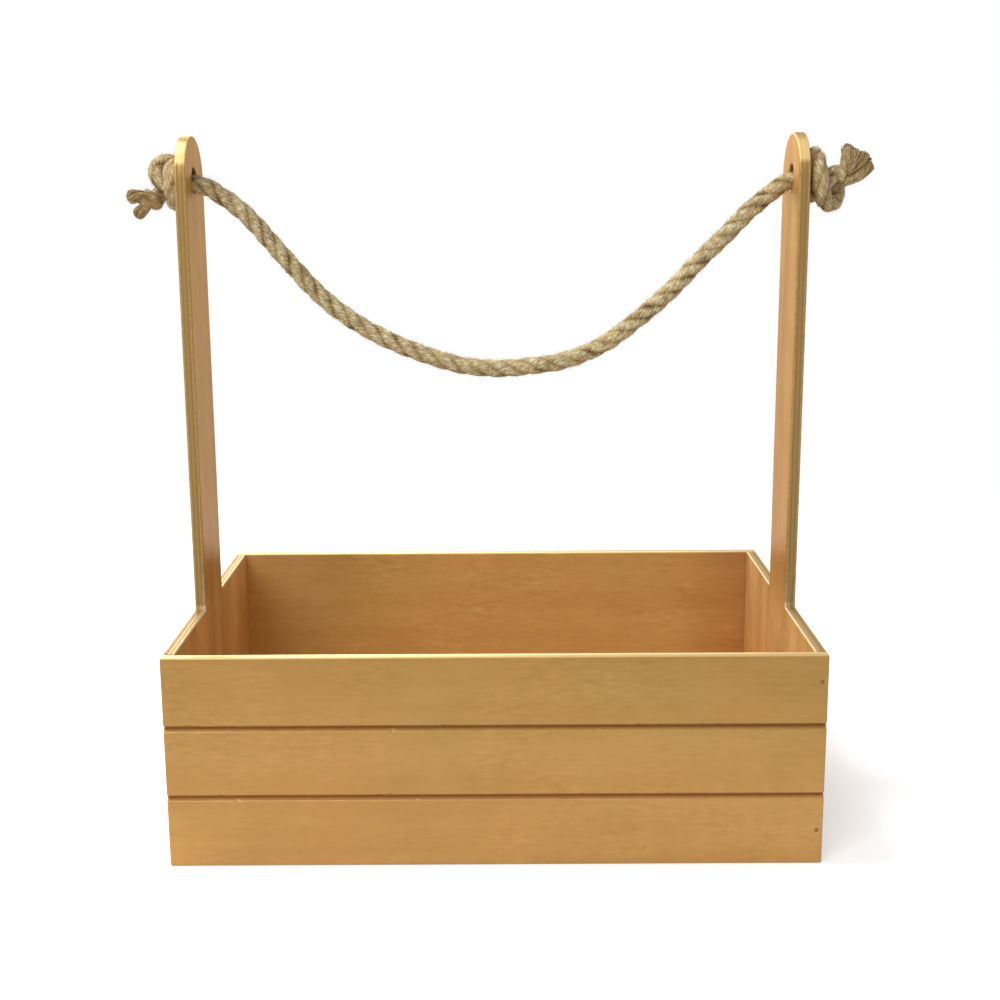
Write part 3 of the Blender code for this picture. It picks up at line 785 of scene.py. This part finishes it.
def jute_group():
    """Dry jute: pale and brown fibres along the yarns, with a painted highlight on the crowns and painted
    shade between strands.
    """
    inputs = {"Vector": None, "Fibre": None, "Depth": 0.0, **dict.fromkeys(JUTE_TONES, WHITE)}
    w, start = new_tree("jute", "ShaderNodeTree", inputs, ("Color", "Height"))
    place = start["Vector"]
    fine = w.noise(w.stretched(start["Fibre"], (19.0, 300.0, 7.0)), 1.0, 4.0, 0.7)
    hairs = w.noise(w.stretched(start["Fibre"], (190.0, 560.0, 11.0)), 1.0, 2.0, 0.6)
    broad = w.noise(place, 170.0, 3.0, 0.6)
    grains = w.noise(place, 900.0, 2.0, 0.6)
    # Pale fibres gather on the strands' crowns as a painted highlight
    crown = w.ramp(start["Depth"], 0.75, 0.05)
    colour = w.blend(w.ramp(fine, 0.44, 0.58) * (0.35 + crown * 0.65), start["Mid"], start["Pale"])
    colour = w.blend(w.ramp(broad, 0.45, 0.70) * 0.42, colour, start["Dark"])
    colour = w.blend(w.ramp(hairs, 0.52, 0.72) * 0.5, colour, start["Dark"])
    colour = w.blend(w.ramp(grains, 0.58, 0.74) * 0.55, colour, start["Dark"])
    # Painted shade in the grooves between the strands, broken up in patches
    depth = start["Depth"] + (broad - 0.5) * 1.8
    patches = 0.40 + w.ramp(w.noise(place, 75.0), 0.42, 0.60) * 0.55
    colour = w.blend(w.ramp(depth, 0.35, 1.35) * patches, colour, start["Groove"])
    w.node("NodeGroupOutput", Color=colour, Height=fine * 0.7 + hairs * 0.5)
    return w.tree


def srgb(red, green, blue):
    """A colour written as 0-255 screen values, for a shader socket."""
    def linear(v):
        v /= 255
        return v / 12.92 if v <= 0.04045 else ((v + 0.055) / 1.055) ** 2.4
    return (linear(red), linear(green), linear(blue), 1.0)


def tones(labels, colours):
    """Screen colours as values for the inputs with these labels."""
    return {label: srgb(*colour) for label, colour in zip(labels, colours)}


def new_material(name):
    material = bpy.data.materials.new(name)
    material.use_nodes = True
    shader = material.node_tree.nodes["Principled BSDF"]
    return material, Wiring(material.node_tree), shader


def painted(name, groups, grain, coat, painted_light):
    """Gold paint on one kind of panel, from the three groups. grain is how many times finer the
    pattern is along each axis, coat is the paint's light, dark and warm tones, and the last argument is
    the painted light and shade on the faces."""
    paint, edge, face_tint = groups
    material, w, shader = new_material(name)
    place = w.place()
    along = w.stretched(place, grain)
    masks = {key.title(): w.attribute(key) for key in ("edge", "through", "rim", "groove", "raw")}
    look = w.group(paint, Vector=place, Along_Grain=along, **tones(PAINT_TONES, coat))
    look = w.group(edge, Vector=place, **look, **masks, **tones(EDGE_TONES, EDGE_COLOURS))
    painted_light = {label: (*tint, 1.0) for label, tint in painted_light.items()}
    tinted = w.group(face_tint, Color=look["Color"], Vector=place, Through=masks["Through"], **painted_light)
    w.fill(
        shader, Base_Color=tinted["Color"], Roughness=look["Roughness"], Metallic=0.40,
        Specular_IOR_Level=0.3, Specular_Tint=srgb(240, 205, 160), Normal=w.bump(look["Height"], 0.5, 0.0003),
    )
    return material


def jute_material(name, jute, colours):
    """The rope's jute in one set of tones: pale, mid, dark and groove."""
    material, w, shader = new_material(name)
    strands = {"Fibre": w.attribute("fibre", "Vector"), "Depth": w.attribute("groove")}
    look = w.group(jute, Vector=w.place(), **strands, **tones(JUTE_TONES, colours))
    w.fill(
        shader, Base_Color=look["Color"], Roughness=0.55, Normal=w.bump(look["Height"], 1.0, 0.0009),
        Specular_IOR_Level=0.45, Specular_Tint=srgb(255, 236, 196),
        Sheen_Weight=0.04, Sheen_Roughness=0.5, Sheen_Tint=srgb(240, 222, 184),
    )
    return material


def nail_material():
    """Steel heads in a darker brown than the paint. Those into the bottom board and at the
    crate's left end are filled over in the paint's tones."""
    material, w, shader = new_material("painted_nail")
    place = w.place()
    sides = w.outs("ShaderNodeSeparateXYZ", place)
    grit = w.noise(place, 900.0, 3.0, 0.6)
    colour = w.blend(w.ramp(grit, 0.35, 0.7), srgb(126, 78, 38), srgb(160, 110, 58))
    into_bottom = w.math("LESS_THAN", sides["Z"], BOTTOM_RECESS + PLY)
    filled = w.math("MAXIMUM", into_bottom, w.math("LESS_THAN", sides["X"], 0.0))
    colour = w.blend(filled, colour, w.blend(grit, srgb(170, 124, 66), srgb(190, 142, 80)))
    bump = w.bump(grit, 0.3, 0.0001)
    w.fill(shader, Base_Color=colour, Roughness=0.4 + grit * 0.25, Metallic=0.6, Normal=bump)
    return material


# ---- panels ----

def corners_of(points):
    """Each point of a loop, with the directions in which its two sides run."""
    for before, here, after in zip([points[-1], *points[:-1]], points, [*points[1:], points[0]]):
        yield here, (here - before).normalized(), (after - here).normalized()


def offset_loop(points, distance):
    """A counter-clockwise loop moved inwards, or a hole's clockwise one moved outwards."""
    moved = []
    for here, first, second in corners_of(points):
        mitre = Vector((-first.y, first.x)) + Vector((-second.y, second.x))
        moved.append(here + mitre * (2 * distance / mitre.length_squared))
    return moved


def rounded_loop(points, radius, steps=5):
    """The loop with its outward corners rounded."""
    loop = []
    for here, first, second in corners_of(points):
        turn = first.x * second.y - first.y * second.x
        if turn < 0.5:
            loop.append(here)
            continue
        centre = here - first * radius + Vector((-first.y, first.x)) * radius
        for k in range(steps + 1):
            angle = (math.pi / 2) * k / steps
            spoke = Vector((first.y, -first.x)) * math.cos(angle) + first * math.sin(angle)
            loop.append(centre + spoke * radius)
    return loop


def walked(points, step):
    """The loop with its long sides divided."""
    loop = []
    for here, after in zip(points, [*points[1:], points[0]]):
        parts = max(1, math.ceil((after - here).length / step))
        loop += [here.lerp(after, k / parts) for k in range(parts)]
    return loop


def ring_loop(centre, radius, count, clockwise=False):
    """A circle's points, counter-clockwise unless it is a hole's."""
    sign = -1 if clockwise else 1
    turns = [sign * math.tau * k / count for k in range(count)]
    return [Vector((centre[0] + radius * math.cos(t), centre[1] + radius * math.sin(t))) for t in turns]


def rectangle(left, low, right, high):
    return [Vector(p) for p in ((left, low), (right, low), (right, high), (left, high))]


def sides_of(loop):
    ends = np.array(loop)
    return zip(ends, np.roll(ends, -1, axis=0))


def distance_to(points, loops):
    """Least distance from each point to the loops' sides."""
    best = np.full(len(points), 1.0)
    for loop in loops:
        for a, b in sides_of(loop):
            side = b - a
            share = np.clip((points - a) @ side / (side @ side), 0, 1)
            best = np.minimum(best, np.linalg.norm(points - a - share[:, None] * side, axis=1))
    return best


def inside_loop(points, loop):
    """Whether each point lies in the loop, by counting the sides that it is left of."""
    within = np.zeros(len(points), bool)
    for a, b in sides_of(loop):
        crosses = (a[1] > points[:, 1]) != (b[1] > points[:, 1])
        if a[1] != b[1]:
            at = a[0] + (points[:, 1] - a[1]) * (b[0] - a[0]) / (b[1] - a[1])
            within ^= crosses & (points[:, 0] < at)
    return within


def boundary(triangles):
    """The sides that only one triangle has, in that triangle's order."""
    sides = np.concatenate([triangles[:, [0, 1]], triangles[:, [1, 2]], triangles[:, [2, 0]]])
    known = {tuple(s) for s in sides}
    return [s for s in sorted(known) if (s[1], s[0]) not in known]


def smooth_step(value, low, high):
    share = np.clip((value - low) / (high - low), 0, 1)
    return share * share * (3 - 2 * share)


def cut_sheet(borders, outline, holes, lines):
    """The flat points and triangles of a sheet, whose mesh follows the borders, some loops in from
    them, and the lines."""
    loops = [(offset_loop(border, share * ARRIS), True) for share in ARRIS_LOOPS for border in borders]
    inner = [walked(outline, FACE_STEP), *holes]
    loops += [(offset_loop(border, share * ARRIS), True) for share in FACE_LOOPS for border in inner]
    corners = []
    sides = []
    for loop, closed in loops + lines:
        first = len(corners)
        corners += loop
        sides += [(first + k, first + k + 1) for k in range(len(loop) - 1)]
        if closed:
            sides.append((len(corners) - 1, first))
    flat, _, triangles, _, _, _ = delaunay_2d_cdt(corners, sides, [], 0, 1e-7)
    flat = np.array(flat)
    triangles = np.array([t for t in triangles if len(t) == 3])
    middles = flat[triangles].mean(axis=1)
    inside = inside_loop(middles, borders[0])
    for hole in holes:
        inside &= ~inside_loop(middles, hole)
    return flat, triangles[inside]


def plywood_sheet(name, outline, holes, lines, relief, bare, place):
    """A sheet cut to an outline, with arrises in a pale tone of wear and painted highlight, and a relief on
    its outer face. lines are (loop, closed) that the mesh follows. bare gives how much of its edges shows
    bare ply at each height, which at the uprights' crowns is painted shade. place turns (across, up, out)
    into the frame."""
    borders = [walked(rounded_loop(outline, ARRIS), BORDER_STEP), *holes]
    flat, triangles = cut_sheet(borders, outline, holes, lines)
    gap = distance_to(flat, borders)
    drop = ARRIS - np.sqrt(np.clip(ARRIS ** 2 - np.clip(ARRIS - gap, 0, None) ** 2, 0, None))
    half = PLY / 2
    groove = relief(flat)
    outer = np.column_stack([flat, half - drop - groove])
    inner = np.column_stack([flat, -half + drop])
    count = len(flat)
    edge_sides = boundary(triangles)
    rim = sorted({k for side in edge_sides for k in side})
    slot = {k: n for n, k in enumerate(rim)}
    top = outer[rim]
    low = inner[rim]
    between = [top + (low - top) * k / EDGE_ROWS for k in range(1, EDGE_ROWS)]
    co = np.concatenate([outer, inner, *between])
    faces = [tuple(t) for t in triangles] + [tuple(t[::-1] + count) for t in triangles]

    def on_row(k, row):
        """A rim point's number on one of the rows from the outer face to the inner one."""
        if row == 0:
            return k
        if row == EDGE_ROWS:
            return k + count
        return 2 * count + (row - 1) * len(rim) + slot[k]

    for a, b in edge_sides:
        for row in range(EDGE_ROWS):
            faces.append((on_row(b, row), on_row(a, row), on_row(a, row + 1), on_row(b, row + 1)))
    mesh = bpy.data.meshes.new(name)
    mesh.from_pydata(place(co).tolist(), [], faces)
    work = bmesh.new()
    work.from_mesh(mesh)
    loose = [v for v in work.verts if not v.link_faces]
    bmesh.ops.delete(work, geom=loose, context="VERTS")
    bmesh.ops.recalc_face_normals(work, faces=work.faces)
    work.to_mesh(mesh)
    work.free()

    def over_edge(on_faces, on_edge):
        """A mask from its values on both faces and its one value on the edge between them."""
        return np.concatenate([on_faces, on_faces, np.full(len(co) - 2 * count, on_edge)])

    band = over_edge(np.clip(1 - gap / ARRIS, 0, 1), 1.0)
    masks = {
        "edge": band,
        "raw": band * bare(co[:, 1]),
        # Where the arrises take their pale tone, wear together with a painted highlight
        "rim": over_edge(np.exp(-gap / RUB_HIGHLIGHT_FADE), EDGE_RUB_HIGHLIGHT),
        "through": co[:, 2] / PLY,
        "groove": np.concatenate([groove / GROOVE_DEPTH, np.zeros(len(co) - count)]),
    }
    kept = sorted({k for face in faces for k in face})
    for key, values in masks.items():
        attribute = mesh.attributes.new(key, "FLOAT", "POINT")
        attribute.data.foreach_set("value", values[kept].astype(np.float32))
    mesh.shade_smooth()
    return linked(name, mesh)


def nail_dents(points, spots):
    """Shallow dents where the paint sinks round each nail head."""
    depth = np.zeros(len(points))
    for spot in spots:
        away = np.linalg.norm(points - np.array(spot), axis=1)
        depth += DENT_DEPTH * (1 - smooth_step(away, DENT_FLOOR, DENT_EDGE))
    return depth


def dent_lines(spots):
    return [(ring_loop(spot, radius, DENT_RING_SIDES), True) for spot in spots for radius in DENT_RINGS]


def bare_to_rim(height):
    """The front and back panels' end edges show their plies up to just below the rim, where the edge takes a
    pale tone of wear and painted highlight.
    """
    return 1 - smooth_step(height, WALL_HEIGHT - 3 * ARRIS, WALL_HEIGHT - 2 * ARRIS)


def bare_round_arch(height):
    """The uprights' edges are bare up to the rope hole, painted on the shoulders in a pale tone that is a
    painted highlight, and darker bare ply at the crown as painted shade.
    """
    crown = HOLE_HEIGHT + UPRIGHT_WIDTH / 2
    shoulder = HOLE_HEIGHT + HOLE_DIAMETER * 0.35
    foot = 1 - smooth_step(height, shoulder, shoulder + HOLE_DIAMETER * 0.5)
    return foot + CROWN_SHADE * smooth_step(height, crown - CROWN_DEPTH, crown - CROWN_DEPTH * 0.1)


def finish_panel(piece, paint, node):
    piece.data.materials.append(paint)
    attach(piece, "crate")
    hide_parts(node)


def groove_heights():
    """The long panels are grooved where three boards would meet."""
    return [WALL_HEIGHT * k / BOARDS for k in range(1, BOARDS)]


def groove_lines():
    """Lines along the grooves, with close points in them and fewer on their shoulders."""
    half = LENGTH / 2
    near = 0.0001
    steps = np.arange(-half, half + near, GROOVE_STEP)
    steps = steps[np.abs(steps) < half - near]
    lines = []
    for height in groove_heights():
        for shares, stride in ((GROOVE_LINES, 1), (SHOULDER_LINES, SHOULDER_STRIDE)):
            for share in shares:
                rise = height + share * GROOVE_WIDTH / 2
                lines.append(([Vector((x, rise)) for x in (-half, *steps[::stride], half)], False))
    return lines


def groove_depth(points):
    """Grooves with rounded bottoms and lips, chipped here and there."""
    depth = np.zeros(len(points))
    across, up, apart = CHIP_PATTERN
    for height in groove_heights():
        chips = np.array([noise.noise(Vector((p[0] * across, p[1] * up, height * apart))) for p in points])
        torn = np.clip(chips - CHIP_FROM, 0, CHIP_MOST) * CHIP_GROWTH
        away = np.abs(points[:, 1] - height) / (GROOVE_WIDTH / 2)
        share = 1 + EDGE_WAVER * chips + torn - away
        hollow = 0.5 * (share + np.sqrt(share ** 2 + GROOVE_ROUNDING))
        depth += GROOVE_DEPTH * hollow * (1 - smooth_step(away, *LIP_FADE))
    return depth


def long_panels(paint):
    """The front and back panels."""
    outline = rectangle(-LENGTH / 2, 0, LENGTH / 2, WALL_HEIGHT)
    spots = [(x, z) for x in (-WALL_X, WALL_X) for z in (LOW_NAIL_INSET, WALL_HEIGHT - TOP_NAIL_INSET)]
    spots += [(LONG_SIDE_NAIL_SHIFT + sign * LONG_SIDE_NAIL_SPACING / 2, BOTTOM_Z) for sign in (-1, 1)]
    lines = dent_lines(spots) + groove_lines()

    def relief(points):
        return np.minimum(nail_dents(points, spots) + groove_depth(points), GROOVE_DEPTH)

    for name, side in (("front", -1), ("back", 1)):
        def place(co, side=side):
            return np.column_stack([co[:, 0], side * (WALL_Y + co[:, 2]), co[:, 1]])
        piece = plywood_sheet(f"{name}_board", outline, [], lines, relief, bare_to_rim, place)
        finish_panel(piece, paint, f"{name}_panel")


def end_panels(paint):
    """The two end panels: wall, upright and half-round top in one sheet."""
    half_upright = UPRIGHT_WIDTH / 2
    outline = [(-ROOM_Y, WALL_HEIGHT), (-ROOM_Y, 0), (ROOM_Y, 0), (ROOM_Y, WALL_HEIGHT)]
    outline.append((half_upright, WALL_HEIGHT))
    for k in range(ROUND_SIDES + 1):
        angle = math.pi * k / ROUND_SIDES
        outline.append((half_upright * math.cos(angle), HOLE_HEIGHT + half_upright * math.sin(angle)))
    outline.append((-half_upright, WALL_HEIGHT))
    outline = [Vector(p) for p in outline]
    hole = ring_loop((0, HOLE_HEIGHT), HOLE_DIAMETER / 2, ROUND_SIDES, clockwise=True)
    spots = [(sign * SHORT_SIDE_NAIL_SPACING / 2, BOTTOM_Z) for sign in (-1, 1)]
    lines = dent_lines(spots)

    def relief(points):
        return nail_dents(points, spots)

    for name, side in (("left", -1), ("right", 1)):
        def place(co, side=side):
            return np.column_stack([side * (WALL_X + co[:, 2]), co[:, 0], co[:, 1]])
        piece = plywood_sheet(f"{name}_end_board", outline, [hole], lines, relief, bare_round_arch, place)
        finish_panel(piece, paint, f"{name}_end_panel")


def bottom_board(paint):
    def place(co):
        return np.column_stack([co[:, 0], co[:, 1], BOTTOM_Z + co[:, 2]])

    def flat(points):
        return np.zeros(len(points))

    outline = rectangle(-ROOM_X, -ROOM_Y, ROOM_X, ROOM_Y)
    piece = plywood_sheet("bottom_board", outline, [], [], flat, bare_to_rim, place)
    finish_panel(piece, paint, "bottom_panel")


# ---- nails ----

def nail_tree():
    """Nails with slightly domed heads, one at each point, driven against its facing."""
    w, start = geometry_tree("driven_nails", NAIL_SIZES)
    head = start["Head Diameter"] / 2.0
    shank = start["Shank Diameter"] / 2.0
    foot = start["Length"] * -1.0
    radii = [head * share for share in HEAD_SHARES] + [shank, shank, shank * 0.9, POINT_RADIUS]
    heights = [*HEAD_HEIGHTS, *SHANK_HEIGHTS, foot + POINT_LENGTH, foot]
    profile = []
    for values in (radii, heights):
        switch = w.node("GeometryNodeIndexSwitch", data_type="FLOAT")
        while len(switch.index_switch_items) < len(values):
            switch.index_switch_items.new()
        w.fill(switch, w.geo("InputIndex"), *values)
        profile.append(Signal(w, switch.outputs[0]))
    girth, height = profile
    line = w.geo("MeshLine", Count=len(radii), Start_Location=(0, 0, 0), Offset=(0, 0, -0.0001))
    line = w.geo("MeshToCurve", line)
    line = w.geo("SetPosition", line, Position=w.combine(0.0, 0.0, height))
    nail = w.tube(line, 16, 1.0, girth)
    turn = w.out("FunctionNodeAlignRotationToVector", Vector=w.named("facing", "FLOAT_VECTOR"))
    return end_tree(w, start, w.geo("InstanceOnPoints", start["Geometry"], Instance=nail, Rotation=turn))


def drive_nails(metal):
    """All sixteen nails as one piece, each on its own node's place."""
    face_y = DEPTH / 2 - NAIL_SUNK
    face_x = LENGTH / 2 - NAIL_SUNK
    fronts = (("front", -1), ("back", 1))
    ends = (("left", -1), ("right", 1))
    nails = []
    for long_side, y_sign in fronts:
        for end, x_sign in ends:
            corner_x = x_sign * WALL_X
            base_x = LONG_SIDE_NAIL_SHIFT + x_sign * LONG_SIDE_NAIL_SPACING / 2
            for level, x, z in (
                ("top", corner_x, WALL_HEIGHT - TOP_NAIL_INSET), ("low", corner_x, LOW_NAIL_INSET),
                ("base", base_x, BOTTOM_Z),
            ):
                nails.append(((x, y_sign * face_y, z), (0, y_sign, 0), f"nail_{long_side}_{end}_{level}"))
    for end, x_sign in ends:
        for side, y_sign in fronts:
            spot = (x_sign * face_x, y_sign * SHORT_SIDE_NAIL_SPACING / 2, BOTTOM_Z)
            nails.append((spot, (x_sign, 0, 0), f"nail_{end}_{side}_base"))
    spots, facings, nodes = zip(*nails)
    mesh = bpy.data.meshes.new("nail_points")
    mesh.from_pydata(spots, [], [])
    facing = mesh.attributes.new("facing", "FLOAT_VECTOR", "POINT")
    facing.data.foreach_set("vector", np.array(facings, dtype=np.float32).ravel())
    values = {"Material": metal, **NAIL_SIZES}
    piece = grown("panel_nails", bpy.data.objects.new("nail_points", mesh), nail_tree(), values)
    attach(piece, "crate")
    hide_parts(*nodes)


# ---- studio ----

def camera_share(w):
    """1 for rays that show or mirror the background, 0 for light that falls on things."""
    path = w.outs("ShaderNodeLightPath")
    seen = path["Is Camera Ray"] + path["Is Glossy Ray"]
    return w.math("MINIMUM", seen + path["Is Transmission Ray"], 1.0)


def add_world():
    world = bpy.data.worlds.new("studio")
    bpy.context.scene.world = world
    world.use_nodes = True
    w = Wiring(world.node_tree)
    shown = camera_share(w)
    colour = w.blend(shown, (0.93, 0.96, 1.0, 1.0), WHITE)
    w.fill(world.node_tree.nodes["Background"], Color=colour, Strength=0.42 + shown * 0.58)


def add_floor():
    """White where the camera sees it, grey in the light, and gone far from the crate."""
    material, w, shader = new_material("studio_floor")
    shown = camera_share(w)
    far = w.ramp(w.vector("LENGTH", w.place()), *FLOOR_FADE)
    w.fill(
        shader, Base_Color=(0.86, 0.86, 0.86, 1.0), Roughness=1.0, Specular_IOR_Level=0.0,
        Emission_Color=WHITE, Emission_Strength=shown * 0.42, Alpha=1.0 - far * shown,
    )
    mesh = bpy.data.meshes.new("studio_floor")
    corners = [(*p, 0) for p in rectangle(-FLOOR_REACH, -FLOOR_REACH, FLOOR_REACH, FLOOR_REACH)]
    mesh.from_pydata(corners, [], [(0, 1, 2, 3)])
    mesh.materials.append(material)
    floor = linked("studio_floor", mesh)
    floor.location.z = -FLOOR_DROP


def add_lamps():
    for name, place, size, watts in LAMPS:
        data = bpy.data.lights.new(name, "AREA")
        data.shape = "SQUARE"
        data.size = size
        data.energy = watts
        lamp = linked(name, data)
        aim = Vector(LAMP_AIM) - Vector(place)
        lamp.matrix_world = Matrix.Translation(place) @ aim.to_track_quat("-Z", "Y").to_matrix().to_4x4()
        lamp.visible_camera = False


def main():
    add_camera()
    fibres = jute_group()
    make_rope(*[jute_material(name, fibres, colours) for name, colours in JUTES.items()])
    groups = (gold_paint_group(), sheet_edge_group(), painted_face_light_group())
    long_panels(painted("front_paint", groups, FLAT_GRAIN, FRONT_COAT, FRONT_PAINTED_LIGHT))
    end_panels(painted("end_paint", groups, UPRIGHT_GRAIN, END_COAT, END_PAINTED_LIGHT))
    bottom_board(painted("bottom_paint", groups, FLAT_GRAIN, BOTTOM_COAT, {}))
    drive_nails(nail_material())
    add_world()
    add_floor()
    add_lamps()
    bpy.context.scene.view_settings.view_transform = "Standard"


main()
